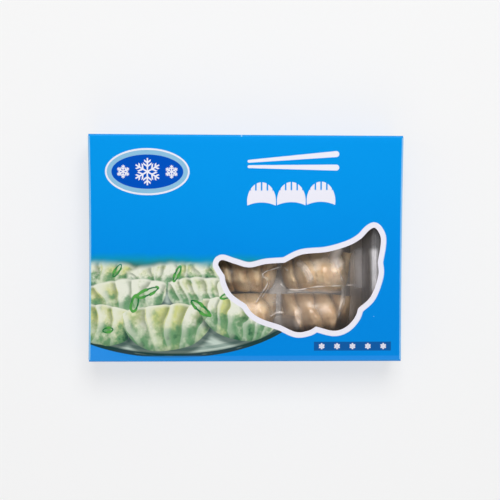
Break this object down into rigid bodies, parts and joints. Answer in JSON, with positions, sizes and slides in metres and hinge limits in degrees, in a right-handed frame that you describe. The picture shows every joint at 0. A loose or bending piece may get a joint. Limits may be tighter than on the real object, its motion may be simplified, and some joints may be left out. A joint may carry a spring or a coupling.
{
  "type": "windowed carton of gyoza",
  "caption": "Shut flat paperboard carton of frozen pleated dumplings, lying on its back, with a die-cut window over a clear inner pouch.",
  "frame": {"origin": "middle of the back panel's outer face, on which the carton lies", "axes": "+X along the carton's length, +Y across it towards its upper side panel, +Z out of the front panel with the window"},
  "size_m": [0.201, 0.145, 0.0348],
  "materials": {
    "printed_board": "semi-gloss printed blue board",
    "film_pouch": "clear film drawn over pale tan dough",
    "clear_film": "thin clear glossy film",
    "dumpling_dough": "pale tan floury dough, slightly translucent"
  },
  "bodies": {
    "root": {"carton": "printed_board", "pouch": "film_pouch"}
  },
  "joints": []
}
